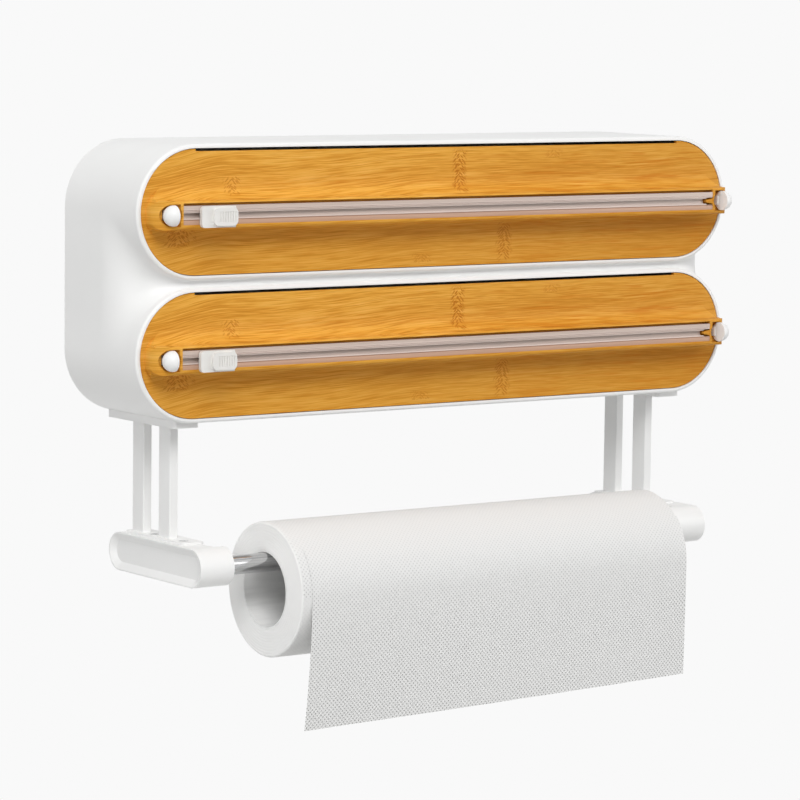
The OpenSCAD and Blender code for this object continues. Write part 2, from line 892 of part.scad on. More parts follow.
module bar_end_plugs() {
    color(white) translate([0, bar_y, arm_z]) for (x = [bar_left, bar_right - plug_len])
        rod_x(x, x + plug_len, bar_r - bar_wall - fit);
}

module bar_spring() {
    color(steel) translate([0, bar_y, arm_z]) difference() {
        rod_x(-bore_end, bar_left - fit, bar_spring_r);
        rod_x(-bore_end - over, bar_left + over, bar_spring_r - bar_spring_wall);
    }
}

// Paper roll on its core, hanging on the bar
module roll_core() {
    color(card) translate([roll_x, bar_y, roll_z]) difference() {
        rod_x(-roll_len / 2, roll_len / 2, core_r + core_wall);
        rod_x(-roll_len, roll_len, core_r);
    }
}

module paper_roll() {
    color(paper) translate([roll_x, bar_y, roll_z]) difference() {
        rod_x(-roll_len / 2, roll_len / 2, roll_r);
        rod_x(-roll_len, roll_len, core_r + core_wall + fit);
    }
}

// Hanging sheet: it leaves the roll's front, curves down and ends in a slanted tear
module tail_section() {
    difference() {
        circle(roll_r + gap + tail_t);
        circle(roll_r + gap);
        translate([-2 * roll_r, -2 * roll_r]) square([4 * roll_r, 2 * roll_r]);
        rotate(-tail_wrap_angle) translate([-2 * roll_r, 0]) square([4 * roll_r, 2 * roll_r]);
    }
    translate([tail_bend - roll_r - gap - tail_t, 0]) difference() {
        circle(tail_bend);
        circle(tail_bend - tail_t);
        translate([-tail_bend - over, 0]) square(2 * (tail_bend + over));
        translate([-tail_bend / 2, -tail_bend - over]) square(2 * (tail_bend + over));
        translate([-tail_bend - over, -tail_bend - 2 * tail_drop])
            square([2 * tail_bend, tail_bend + tail_drop]);
    }
}

module paper_tail() {
    left = roll_x - roll_len / 2 + tail_inset;
    right = roll_x + roll_len / 2;
    slope = atan2(tail_slant, right - left);
    color(paper) difference() {
        translate([0, bar_y, roll_z]) along_x(left, right) tail_section();
        translate([left, bar_y, roll_z - tail_drop]) rotate([0, -slope, 0])
            translate([-roll_len, -roll_len, -2 * tail_drop]) cube([3 * roll_len, 2 * roll_len, 2 * tail_drop]);
    }
}

housing();
back_cover();
back_cover_screws();
in_tube(1, 1) front_panel();  // upper_front_panel
in_tube(1, -1) front_panel();  // lower_front_panel
in_tube(1, 1) drawer_tray();  // upper_drawer_tray
in_tube(1, -1) drawer_tray();  // lower_drawer_tray
in_tube(1, 1) panel_screws();  // upper_panel_screws
in_tube(1, -1) panel_screws();  // lower_panel_screws
in_tube(1, 1) cutter_rail();  // upper_cutter_rail
in_tube(1, -1) cutter_rail();  // lower_cutter_rail
in_tube(1, 1) slider();  // upper_slider
in_tube(1, -1) slider();  // lower_slider
in_tube(1, 1) slider_blade();  // upper_slider_blade
in_tube(1, -1) slider_blade();  // lower_slider_blade
in_tube(-1, 1) button();  // upper_left_button
in_tube(1, 1) button();  // upper_right_button
in_tube(-1, -1) button();  // lower_left_button
in_tube(1, -1) button();  // lower_right_button
in_tube(-1, 1) button_spring();  // upper_left_button_spring
in_tube(1, 1) button_spring();  // upper_right_button_spring
in_tube(-1, -1) button_spring();  // lower_left_button_spring
in_tube(1, -1) button_spring();  // lower_right_button_spring
mirror([1, 0, 0]) top_plate();  // left_top_plate
top_plate();  // right_top_plate
mirror([1, 0, 0]) post(front_post_y);  // left_front_post
mirror([1, 0, 0]) post(back_post_y);  // left_back_post
post(front_post_y);  // right_front_post
post(back_post_y);  // right_back_post
mirror([1, 0, 0]) arm_plate();  // left_arm_plate
arm_plate();  // right_arm_plate
mirror([1, 0, 0]) arm();  // left_arm
arm();  // right_arm
top_plate_screws();
arm_screws();
towel_bar();
bar_end_plugs();
bar_spring();
roll_core();
paper_roll();
paper_tail();
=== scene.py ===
# Looks of a wall-mounted cling film and towel dispenser, on its packed construction
import functools
import json
import math
import random

import bpy
import bmesh
from mathutils import Matrix, Vector


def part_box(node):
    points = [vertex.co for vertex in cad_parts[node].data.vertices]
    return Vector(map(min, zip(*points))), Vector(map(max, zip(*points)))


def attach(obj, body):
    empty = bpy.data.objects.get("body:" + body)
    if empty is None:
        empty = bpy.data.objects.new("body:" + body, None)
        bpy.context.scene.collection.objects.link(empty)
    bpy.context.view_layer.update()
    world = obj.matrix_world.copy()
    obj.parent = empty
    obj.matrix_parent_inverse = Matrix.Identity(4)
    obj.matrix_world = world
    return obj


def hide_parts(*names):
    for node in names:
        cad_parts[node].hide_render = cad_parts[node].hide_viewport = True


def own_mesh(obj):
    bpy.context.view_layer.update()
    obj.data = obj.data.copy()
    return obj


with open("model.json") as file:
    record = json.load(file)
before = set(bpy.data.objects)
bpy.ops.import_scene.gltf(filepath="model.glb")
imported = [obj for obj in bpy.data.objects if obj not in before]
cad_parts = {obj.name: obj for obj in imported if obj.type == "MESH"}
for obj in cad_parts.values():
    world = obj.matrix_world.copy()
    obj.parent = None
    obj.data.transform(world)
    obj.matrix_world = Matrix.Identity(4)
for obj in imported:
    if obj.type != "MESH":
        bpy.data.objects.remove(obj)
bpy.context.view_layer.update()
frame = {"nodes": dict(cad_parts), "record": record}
nodes = frame["nodes"]

MM = 0.001

# The camera stands left of the front and a little over the cabinet, and looks slightly down. Its
# place is in metres, its lens and sensor in millimetres
CAMERA_PLACE = (-1.1867, -1.7088, 0.1519)
CAMERA_YAW = math.radians(35.276)
CAMERA_PITCH = math.radians(6.21)
CAMERA_ROLL = math.radians(0.735)
CAMERA_LENS = 170.45
CAMERA_SENSOR = 36.0
CAMERA_FAR = 20

TURN = 2 * math.pi

MATH = "ShaderNodeMath"
RANGE = "ShaderNodeMapRange"
RAMP = "ShaderNodeValToRGB"
MIX = "ShaderNodeMix"
NOISE = "ShaderNodeTexNoise"
PLACE = "ShaderNodeTexCoord"
AXES = "ShaderNodeSeparateXYZ"
SMOOTH = {"interpolation_type": "SMOOTHSTEP"}
COLOURS = {"data_type": "RGBA"}
# First value times the second, and the third added
SCALED = "MULTIPLY_ADD"


def middle_of(name):
    """Middle of a CAD node's box along X, Y and Z."""
    return [(low + high) / 2 for low, high in zip(*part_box(name))]


# The two film drawers lie one over the other, and share one pattern about their own middles: how
# far each of these lies from the cabinet's own middle, in millimetres
DRAWER_Z = middle_of("upper_front_panel")[2] / MM

random.seed(7)


def srgb(hex_colour):
    """A written sRGB colour as the linear colour that Blender mixes in."""
    parts = [int(hex_colour[i:i + 2], 16) / 255 for i in (1, 3, 5)]
    linear = [p / 12.92 if p <= 0.04045 else ((p + 0.055) / 1.055) ** 2.4 for p in parts]
    return (*linear, 1.0)


def add(tree, kind, how=None, *values, **inputs):
    """One node with its settings and links. How is a word for its operation or a dict of settings,
    in which stops fills a colour ramp with pairs of place and colour. Values go to the inputs in
    their order or by name, and a node given as a value stands for its output."""
    made = tree.nodes.new(kind)
    settings = {"operation": how} if isinstance(how, str) else dict(how or {})
    for k, (place, colour) in enumerate(settings.pop("stops", [])):
        points = made.color_ramp.elements
        point = points[k] if k < len(points) else points.new(place)
        point.position, point.color = place, srgb(colour)
    for name, value in settings.items():
        setattr(made, name, value)
    sockets = [socket for socket in made.inputs if socket.enabled]
    for key, value in [*enumerate(values), *inputs.items()]:
        socket = sockets[key] if isinstance(key, int) else made.inputs[key.replace("_", " ")]
        if isinstance(value, bpy.types.Node):
            value = next(output for output in value.outputs if output.enabled)
        if isinstance(value, bpy.types.NodeSocket):
            tree.links.new(value, socket)
        else:
            socket.default_value = value
    return made


def new_material(name):
    """An empty node material, and the function that adds a node to it."""
    material = bpy.data.materials.new(name)
    material.use_nodes = True
    material.node_tree.nodes.clear()
    return material, functools.partial(add, material.node_tree)


def finished(material, node, **inputs):
    """The material with its shader, whose even values are set on the shader's own sockets."""
    node("ShaderNodeOutputMaterial", Surface=node("ShaderNodeBsdfPrincipled", **inputs))
    return material


def grain(node, cell, detail=3.0, roughness=0.5, start=(0, 0, 0), place=None, unit=MM):
    """Noise whose grains have a real size in millimetres along X, Y and Z. The unit is what one
    millimetre is in the numbers of the place, which are metres if nothing else is said."""
    place = place or node(PLACE).outputs["Object"]
    scale = [1 / (size * unit) for size in cell]
    mapped = node("ShaderNodeMapping", Vector=place, Location=start, Scale=scale)
    return node(NOISE, Vector=mapped, Scale=1.0, Detail=detail, Roughness=roughness)


def relief(node, height, depth, strength=1.0):
    """A fine relief of the surface, whose depth is in millimetres."""
    return node("ShaderNodeBump", Strength=strength, Distance=depth * MM, Height=height)


def drawer_place(node):
    """Place along a drawer and over its own middle, in millimetres."""
    axes = node(AXES, None, node(PLACE).outputs["Object"])
    x, z = (node(MATH, "DIVIDE", axes.outputs[axis], MM) for axis in "XZ")
    tube = node(MATH, "MULTIPLY", node(MATH, "SIGN", axes.outputs["Z"]), DRAWER_Z)
    return x, node(MATH, "SUBTRACT", z, tube)


# Nearly all of a noise lies in this span, and moves a finish between its two tones
NOISE_SPAN = (0.3, 0.7)
ABS_TONES = ("#EEEEED", "#F3F3F2")
# The sliders' warmer white, darkened by painted shade
SLIDER_TONES_SHADED = ("#E2E0DC", "#E8E6E2")
TUBE_TONES = ("#A9A9AA", "#DEDEDE")
ZINC_TONES = ("#A8A9AB", "#C6C6C5")
CARD_TONES = ("#E9E9E8", "#F6F6F5")


def moulded_abs():
    """White ABS, injection moulded in a finely eroded mould: satin, with a slight flow in its
    gloss and a faint drift of its tone that keeps a large side from looking flat."""
    material, node = new_material("moulded_white_abs")
    colour = node(RAMP, {"stops": zip(NOISE_SPAN, ABS_TONES)}, grain(node, (70, 70, 70), 2.0))
    rough = node(RANGE, None, grain(node, (4, 4, 4)), *NOISE_SPAN, 0.36, 0.44)
    fine = relief(node, grain(node, (0.5, 0.5, 0.5), 2.0), 0.05, 0.06)
    return finished(material, node, Base_Color=colour, Roughness=rough, Normal=fine, IOR=1.5,
                    Specular_IOR_Level=0.4)


def slider_plastic_shaded():
    """White plastic of the cutter's sliders, moulded and waxy smooth: its own warmer white than the
    cabinet's, darkened by painted shade of the rail's recess."""
    material, node = new_material("slider_plastic_painted_shade")
    colour = node(RAMP, {"stops": zip(NOISE_SPAN, SLIDER_TONES_SHADED)}, grain(node, (9, 9, 9), 2.0))
    return finished(material, node, Base_Color=colour, Roughness=0.38, IOR=1.48,
                    Specular_IOR_Level=0.4)


# Bamboo from its dark fibres to its pale ones, as places in the tone's noise and colours; then the
# deep tone of its veins, which is also the painted shade towards the right and under the ridge, and
# the tones of its orange tongues and node marks
BAMBOO_TONES = [(0.36, "#C38022"), (0.46, "#D79735"), (0.52, "#E4A743"), (0.58, "#EAB04E"),
                (0.68, "#F1BA60")]
BAMBOO_VEIN_AND_SHADE = "#B97416"
BAMBOO_TONGUE = "#C87712"
BAMBOO_MARK = "#B86E18"
# Fibres drift off level, in millimetres: they sweep down at the left end and fall along the left
# half, as where it begins and ends and how far it is there, with slow and fine waves on that
SWEEP = (-192, -140, 7, 0)
FALL = (-125, 25, 6, 0)
SLOW_CELL = (120, 24, 1)
SLOW_HEIGHT = 5
FINE_CELL = (30, 5, 1)
FINE_HEIGHT = 1.3
# Grains of the fibres, drawn twice as coarse as the cane's own so that they show, of the strands
# and of the broad runs, with their shares in the tone
FIBRE_CELL = (20, 0.46, 1)
FIBRE_SHARE = 0.46
STRAND_CELL = (42, 1.35, 1)
STRAND_SHARE = 0.34
BROAD_CELL = (120, 9, 1)
BROAD_SHARE = 0.22
# Veins and tongues: their grains, the span of the noise in which they grow, and their strength
VEIN_CELL = (30, 0.75, 1)
VEIN_SPAN = (0.57, 0.66)
VEIN_SHARE = 0.34
TONGUE_CELL = (40, 2.0, 1)
TONGUE_SPAN = (0.50, 0.66)
TONGUE_SHARE = 0.6
# Painted shade darkens the colour towards the right and below the middle, under the ridge, and the
# tongues grow to the right: where it begins and ends, and how strong it is there
SHADE_RIGHT = (-60, 190, 0, 0.22)
SHADE_DOWN = (6, -6, 0, 0.22)
TONGUE_RIGHT = (-60, 120, 0.15, 1.0)
# Node marks: middle along the panel, middle height, half length, half height, strength
BAMBOO_NODES = [
    (8.5, 18, 5, 12, 0.9), (39, -20.5, 5.4, 11, 0.8), (-136, 13, 6, 5, 0.6),
    (-168, -13, 10, 5, 0.8), (-15.4, -27.7, 7, 2.4, 0.5), (72, 26.5, 6, 2.4, 0.4)]
# Shares of its half length and half height over which a node mark fades out, and the grain of
# the wander of its edges and how far its ends and tops wander
MARK_ENDS = (1.1, 1.7, 1, 0)
MARK_TOPS = (1.0, 1.3, 1, 0)
WANDER_CELL = (4, 3, 1)
WANDER_ENDS = 1.2
WANDER_TOPS = 0.5
# Flecks of a node mark: length and height of their cells, their rise off the mark's middle, and
# the distance from its own middle over which a fleck fades out
FLECK_LONG = 2.4
FLECK_HIGH = 1.15
FLECK_RISE = 0.75
FLECK_EDGE = (0.22, 0.5, 1, 0)


def node_marks(node, x, z, flat):
    """Strength of the marks that the cane's nodes leave: each is a band of small flecks that lean
    in on its middle, and its edges wander."""
    wander = grain(node, WANDER_CELL, 2.0, start=(2, 2, 0), place=flat, unit=1)
    marks = None
    for middle, height, half_len, half_high, strength in BAMBOO_NODES:
        off_x = node(MATH, "ABSOLUTE", node(MATH, "SUBTRACT", x, middle))
        off_z = node(MATH, "ABSOLUTE", node(MATH, "SUBTRACT", z, height))
        out_x = node(MATH, SCALED, wander, WANDER_ENDS, node(MATH, "DIVIDE", off_x, half_len))
        out_z = node(MATH, SCALED, wander, WANDER_TOPS, node(MATH, "DIVIDE", off_z, half_high))
        inside = node(MATH, "MULTIPLY", node(RANGE, SMOOTH, out_x, *MARK_ENDS),
                      node(RANGE, SMOOTH, out_z, *MARK_TOPS))
        lean = node(MATH, SCALED, off_x, FLECK_RISE, z)
        cell = node("ShaderNodeCombineXYZ", None, node(MATH, "DIVIDE", x, FLECK_LONG),
                    node(MATH, "DIVIDE", lean, FLECK_HIGH))
        fleck = node("ShaderNodeTexVoronoi", {"voronoi_dimensions": "2D"}, Vector=cell, Scale=1.0)
        fleck = node(RANGE, SMOOTH, fleck, *FLECK_EDGE)
        mark = node(MATH, "MULTIPLY", node(MATH, "MULTIPLY", inside, strength), fleck)
        marks = node(MATH, "MAXIMUM", marks, mark) if marks else mark
    return marks


def bamboo_print():
    """Laminated bamboo in print under a satin lacquer: fine long fibres that lie nearly level,
    paler and darker runs among them, and the flecked bands that the cane's nodes leave."""
    material, node = new_material("lacquered_bamboo")
    x, z = drawer_place(node)
    flat = node("ShaderNodeCombineXYZ", None, x, z)
    cane = functools.partial(grain, node, unit=1)
    # Fibres sweep down from the left end, fall a little along the left half, then lie level
    drift = node(MATH, "ADD", node(RANGE, SMOOTH, x, *SWEEP), node(RANGE, SMOOTH, x, *FALL))
    slow = cane(SLOW_CELL, 1.0, place=flat)
    drift = node(MATH, SCALED, slow, SLOW_HEIGHT, drift)
    fine = cane(FINE_CELL, 1.0, start=(3, 1, 0), place=flat)
    drift = node(MATH, SCALED, fine, FINE_HEIGHT, drift)
    run = node("ShaderNodeCombineXYZ", None, x, node(MATH, "ADD", z, drift))
    fibres = cane(FIBRE_CELL, 2.0, 0.6, place=run)
    strands = cane(STRAND_CELL, 3.0, 0.6, start=(7, 2, 0), place=run)
    broad = cane(BROAD_CELL, 2.0, 0.5, start=(1, 5, 0), place=run)
    tone = node(MATH, SCALED, fibres, FIBRE_SHARE, node(MATH, "MULTIPLY", strands, STRAND_SHARE))
    tone = node(MATH, SCALED, broad, BROAD_SHARE, tone)
    colour = node(RAMP, {"stops": BAMBOO_TONES}, tone)
    # Thin dark veins run among the fibres
    veins = cane(VEIN_CELL, 2.0, 0.5, start=(6, 3, 0), place=run)
    veins = node(MATH, "MULTIPLY", node(RANGE, SMOOTH, veins, *VEIN_SPAN), VEIN_SHARE)
    colour = node(MIX, COLOURS, veins, colour, srgb(BAMBOO_VEIN_AND_SHADE))
    # Painted shade: the colour darkens towards the right, where less light falls, and in the lower
    # half, in the ridge's shadow
    deep = node(MATH, "ADD", node(RANGE, SMOOTH, x, *SHADE_RIGHT),
                node(RANGE, SMOOTH, z, *SHADE_DOWN))
    colour = node(MIX, COLOURS, deep, colour, srgb(BAMBOO_VEIN_AND_SHADE))
    # Darker orange tongues, most of them on the right
    tongues = cane(TONGUE_CELL, 3.0, 0.6, start=(4, 9, 0), place=run)
    tongues = node(MATH, "MULTIPLY", node(RANGE, SMOOTH, tongues, *TONGUE_SPAN),
                   node(RANGE, SMOOTH, x, *TONGUE_RIGHT))
    tongues = node(MATH, "MULTIPLY", tongues, TONGUE_SHARE)
    colour = node(MIX, COLOURS, tongues, colour, srgb(BAMBOO_TONGUE))
    colour = node(MIX, COLOURS, node_marks(node, x, z, flat), colour, srgb(BAMBOO_MARK))
    return finished(material, node, Base_Color=colour, Normal=relief(node, tone, 0.1, 0.2), IOR=1.45,
                    Roughness=0.5, Specular_IOR_Level=0.12)


# Heights of the rail's lower and upper edge over the drawer's middle, and its tones between them as
# shares of its height
RAIL_LOW = -5.5
RAIL_HIGH = 4.2
RAIL_BANDS = [
    (0.0, "#C29A80"), (0.22, "#D2AA92"), (0.265, "#A07A62"), (0.30, "#E8D6CC"), (0.64, "#E0D0C6"),
    (0.685, "#A89288"), (0.72, "#DAC8BE"), (1.0, "#D2BDB0")]


def clear_rail_plastic():
    """Extruded clear polycarbonate over the dark recess: it looks a smoky rose grey, paler on its
    middle channel, with a dark line on each edge of the channel and a polished skin."""
    material, node = new_material("extruded_clear_polycarbonate")
    _, z = drawer_place(node)
    colour = node(RAMP, {"stops": RAIL_BANDS}, node(RANGE, None, z, RAIL_LOW, RAIL_HIGH))
    flow = node(RANGE, None, grain(node, (60, 2, 0.8), 3.0), *NOISE_SPAN, 0.9, 1.06)
    shade = node(MIX, {"data_type": "RGBA", "blend_type": "MULTIPLY"}, 1.0, colour, flow)
    return finished(material, node, Base_Color=shade, IOR=1.58, Roughness=0.2,
                    Transmission_Weight=0.08, Specular_IOR_Level=0.3)


def polished_steel():
    """Drawn and polished stainless tube: a mirror that the drawing has streaked along its length."""
    material, node = new_material("polished_stainless_tube")
    draw = grain(node, (60, 0.5, 0.5), 3.0)
    colour = node(RAMP, {"stops": zip(NOISE_SPAN, TUBE_TONES)}, draw)
    rough = node(RANGE, None, draw, *NOISE_SPAN, 0.10, 0.24)
    return finished(material, node, Base_Color=colour, Metallic=1.0, Roughness=rough)


def plated_steel():
    """Zinc-plated steel of the screws and springs: bright, and a little cloudy where the bath left
    it."""
    material, node = new_material("zinc_plated_steel")
    cloud = grain(node, (2, 2, 2))
    colour = node(RAMP, {"stops": zip(NOISE_SPAN, ZINC_TONES)}, cloud)
    rough = node(RANGE, None, cloud, *NOISE_SPAN, 0.22, 0.40)
    return finished(material, node, Base_Color=colour, Metallic=1.0, Roughness=rough)


# Pitch of the towel's embossed dots along and down the sheet, and the stretch of the sheet over
# which they open, from before it leaves the roll to after, all in millimetres
DOT_ALONG = 2.35
DOT_DOWN = 2.4
DOTS_OPEN = (-45, 30)
# The lattice's rows sway, as the grain of that and its shares of a pitch; its wave makes a pit
# over a span of heights, and wear makes some pits shallower
SWAY_CELL = (25, 25, 25)
SWAY_ALONG = 0.8
SWAY_DOWN = 0.6
PIT_SPAN = (0.1, 0.95)
WEAR_CELL = (14, 14, 14)
WEAR = (0.25, 0.65, 0.8, 1.0)
WOUND_PITS = 0.12
# The crepe's grain and its share of the relief, and the slant of the surface at the cut ends
CREPE_CELL = (0.9, 0.5, 0.9)
CREPE_SHARE = 0.35
END_SPAN = (0.55, 0.85)
# The paper's own white, and the painted shade that greys the bottom of each pit
PAPER_AND_PIT_SHADE = [(0.0, "#E8E8E7"), (1.0, "#A6A6A5")]
PAPER_END = "#F6F6F5"


def tissue_paper():
    """Two-ply paper towel, embossed with small pits in a diagonal lattice: soft and matt, with painted
    shade greying each pit; a crepe too fine to see one by one clouds it slightly."""
    material, node = new_material("embossed_towel_paper")
    sheet = node("ShaderNodeUVMap", {"uv_map": "sheet"})
    axes = node(AXES, None, sheet)
    sway = grain(node, SWAY_CELL, 2.0, place=sheet)
    along = node(MATH, "DIVIDE", axes.outputs["X"], DOT_ALONG * MM)
    along = node(MATH, SCALED, sway, SWAY_ALONG, along)
    down = node(MATH, "DIVIDE", axes.outputs["Y"], DOT_DOWN * MM)
    down = node(MATH, SCALED, sway, SWAY_DOWN, down)
    rows = node(MATH, "MULTIPLY", *[
        node(MATH, "COSINE", node(MATH, "MULTIPLY", way, TURN)) for way in (along, down)])
    pits = node(RANGE, SMOOTH, rows, *PIT_SPAN)
    worn = node(RANGE, None, grain(node, WEAR_CELL, 3.0, place=sheet), *WEAR)
    # The pits lie flat where the layers are wound tight, and open where the sheet hangs free
    free = node(RANGE, SMOOTH, axes.outputs["Y"], *[end * MM for end in DOTS_OPEN], WOUND_PITS,
                1.0)
    pits = node(MATH, "MULTIPLY", pits, node(MATH, "MULTIPLY", worn, free))
    # Painted shade: the deeper the pit, the greyer its colour
    colour = node(RAMP, {"stops": PAPER_AND_PIT_SHADE}, pits)
    # The cut ends of the roll show smooth pale layers
    facing = node(AXES, None, node("ShaderNodeNewGeometry").outputs["Normal"])
    end = node(RANGE, SMOOTH, node(MATH, "ABSOLUTE", facing.outputs["X"]), *END_SPAN)
    colour = node(MIX, COLOURS, end, colour, srgb(PAPER_END))
    height = node(MATH, "MULTIPLY", node(MATH, "SUBTRACT", 1.0, pits),
                  node(MATH, "SUBTRACT", 1.0, end))
    crepe = grain(node, CREPE_CELL, 2.0, place=sheet)
    height = node(MATH, SCALED, crepe, CREPE_SHARE, height)
    return finished(material, node, Base_Color=colour, Normal=relief(node, height, 0.22, 0.55),
                    Roughness=0.95, Specular_IOR_Level=0.15)


def core_board():
    """Wound core of pale card, calendered smooth: grey white with a soft gloss, and faint streaks
    along its length."""
    material, node = new_material("wound_pale_card")
    tone = grain(node, (30, 3, 3), 4.0)
    colour = node(RAMP, {"stops": zip(NOISE_SPAN, CARD_TONES)}, tone)
    return finished(material, node, Base_Color=colour, Normal=relief(node, tone, 0.1, 0.2),
                    Roughness=0.5, IOR=1.5)


FINISHES = {
    "white_plastic": moulded_abs(),
    "bamboo_print": bamboo_print(),
    "clear_plastic": clear_rail_plastic(),
    "steel": plated_steel(),
    "bright_steel": polished_steel(),
    "tissue": tissue_paper(),
    "core_board": core_board(),
}
for sub in frame["record"]["subparts"]:
    mesh = nodes[sub["node"]].data
    mesh.materials.clear()
    mesh.materials.append(FINISHES[sub["material_slot"]])

# The sliders take a darker copy of the white plastic: painted shade of the rail's recess
shaded_slider_finish = slider_plastic_shaded()
for slider in ("upper_slider", "lower_slider"):
    nodes[slider].data.materials[0] = shaded_slider_finish


def placed(name, data):
    """A new object in the scene, with that mesh, lamp or camera."""
    made = bpy.data.objects.new(name, data)
    bpy.context.scene.collection.objects.link(made)
    return made


def new_piece(name, mesh, slot, body, *replaced):
    """A finished mesh as a piece that rides on a body and stands for CAD nodes."""
    piece = placed(name, mesh)
    mesh.materials.clear()
    mesh.materials.append(FINISHES[slot])
    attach(piece, body)
    if replaced:
        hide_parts(*replaced)
    return piece


def bridge(work, rings):
    """Smooth faces from each closed ring of corners to the next."""
    for here, there in zip(rings, rings[1:]):
        count = len(here)
        for k in range(count):
            m = (k + 1) % count
            work.faces.new((here[k], here[m], there[m], there[k])).smooth = True


def plain_mesh(work, name):
    """The mesh of a bmesh that is done with."""
    mesh = bpy.data.meshes.new(name)
    work.to_mesh(mesh)
    work.free()
    return mesh


# Outer shell, in millimetres: what the frame says of it, and the groove that the construction holds
HALF_W, _, HALF_H = (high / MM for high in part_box("housing")[1])
RIM_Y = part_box("housing")[0][1] / MM
TUBE_R = HALF_H - DRAWER_Z
HALF_STRAIGHT = HALF_W - TUBE_R
INNER_FLOOR = 12
INNER_ROUND = 24
RIM_ROUND = 1.6
# The groove as it looks: a shallow floor that turns into the cabinet's sides in a wide round,
# which meets them where the construction's round does
GROOVE_DEPTH = 4.2
GROOVE_ROUND = INNER_FLOOR + INNER_ROUND - GROOVE_DEPTH
GROOVE_STEPS = 40
FLOOR_STEPS = 4
ARC_STEPS = 16
# Its skin is rooted in the walls: how deep, then each step past the line of contact with its sink,
# and how much deeper each lies where there is little room and at the skin's end
SKIN_ROOT = 1.0
SIDE_STEPS = ((0.4, 0.02), (1.0, 0.08), (1.8, 0.25), (2.6, 0.6))
TIGHT_SINK = 0.3
END_SINK = 0.03
SKIN_CREASE = math.radians(50)
# Angles round a tube's end where contact is looked for, and how often a search halves its span
END_ANGLES = [math.radians(i / 4) for i in range(1, 360)]
HALVINGS = 40
# Least and largest radius of the groove's round, how far behind the groove the construction's
# floor is looked for, and the reach and the sine that stand for none
DISC_SPAN = (0.5, 5000.0)
FLOOR_BEHIND = 14.0
NO_TUBE = -99.0
TINY = 1e-6
# Below this sine the section looks to the front, and from this angle on it looks sideways
STRAIGHT_SINE = 0.02
SIDEWAYS = math.radians(89)


def nose_reach(z, plan_x, nx):
    """How far a tube's round end stands out over the groove's floor, at height z."""
    across = DRAWER_Z - abs(z)
    if across >= TUBE_R or nx < TINY:
        return NO_TUBE
    return (HALF_STRAIGHT + math.sqrt(TUBE_R ** 2 - across ** 2) - plan_x) / nx


def construction_reach(plan_x, plan_y, nx, ny):
    """How far the construction's own floor lies behind the groove's, along the same line."""
    near, far = 0.0, FLOOR_BEHIND
    corner = (HALF_W - INNER_ROUND, RIM_Y + INNER_FLOOR + INNER_ROUND)
    for _ in range(HALVINGS):
        back = (near + far) / 2
        x, y = plan_x - back * nx, plan_y - back * ny
        solid = y >= RIM_Y + INNER_FLOOR and x <= HALF_W
        if solid and x > corner[0] and y < corner[1]:
            solid = math.hypot(x - corner[0], y - corner[1]) <= INNER_ROUND
        near, far = (near, back) if solid else (back, far)
    return -far


def resting_disc(plan_x, nx):
    """The largest disc that rests on the groove's floor between the tubes' round ends, as its
    radius, and the reach, height and angle of its contact with them."""
    wall = [((HALF_STRAIGHT + TUBE_R * math.sin(a) - plan_x) / nx, DRAWER_Z - TUBE_R * math.cos(a), a)
            for a in END_ANGLES]
    wall = [point for point in wall if point[0] >= 0] or [(0.0, DRAWER_Z, math.radians(90))]
    small, large = DISC_SPAN
    for _ in range(HALVINGS):
        disc = (small + large) / 2
        clear = min(math.hypot(z, reach - disc) for reach, z, _ in wall) >= disc
        small, large = (disc, large) if clear else (small, disc)
    return disc, *min(wall, key=lambda point: math.hypot(point[1], point[0] - disc))


def groove_section(plan_x, plan_y, turn):
    """Upper and lower points of the groove's skin where its plan has turned by an angle: pairs of
    height and reach. A disc that rests on the floor and touches both tubes gives its round."""
    nx, ny = math.sin(turn), -math.cos(turn)
    room = GROOVE_DEPTH - RIM_ROUND
    if nx < STRAIGHT_SINE:
        disc = contact = reach = DRAWER_Z - TUBE_R
        along, down = 1.0, 0.0
    else:
        disc, reach, contact, angle = resting_disc(plan_x, nx)
        rise, run = math.cos(angle) / nx, math.sin(angle)
        along, down = rise / math.hypot(rise, run), run / math.hypot(rise, run)
        if turn < SIDEWAYS:
            room = (plan_y - RIM_Y) / -ny - RIM_ROUND
    # Past the contact the skin follows the wall and dips under it, but never into the rim's round
    room = max(room - reach, 0)
    tight = 1 - min(1, room / SIDE_STEPS[-1][0])
    side = []
    for k, (step, sink) in enumerate(SIDE_STEPS):
        step, sink = min(step, room), sink + TIGHT_SINK * (k + 1) * tight
        side.append((contact + step * down + sink * along, reach + step * along - sink * down))
    own = construction_reach(plan_x, plan_y, nx, ny)
    contact = min(contact, disc)
    upper, lower = [], []
    for i in range(-ARC_STEPS, ARC_STEPS + 1):
        z = contact * math.sin(math.radians(90 * i / ARC_STEPS))
        upper.append((z, disc - math.sqrt(max(disc ** 2 - z ** 2, 0))))
        lower.append((z, max(own, nose_reach(z, plan_x, nx)) - SKIN_ROOT))
    for z, reach in side:
        root = min(reach, max(own, nose_reach(z, plan_x, nx))) - SKIN_ROOT
        for sign, place in ((1, len(upper)), (-1, 0)):
            upper.insert(place, (sign * z, reach))
            lower.insert(place, (sign * z, root))
    return upper, lower


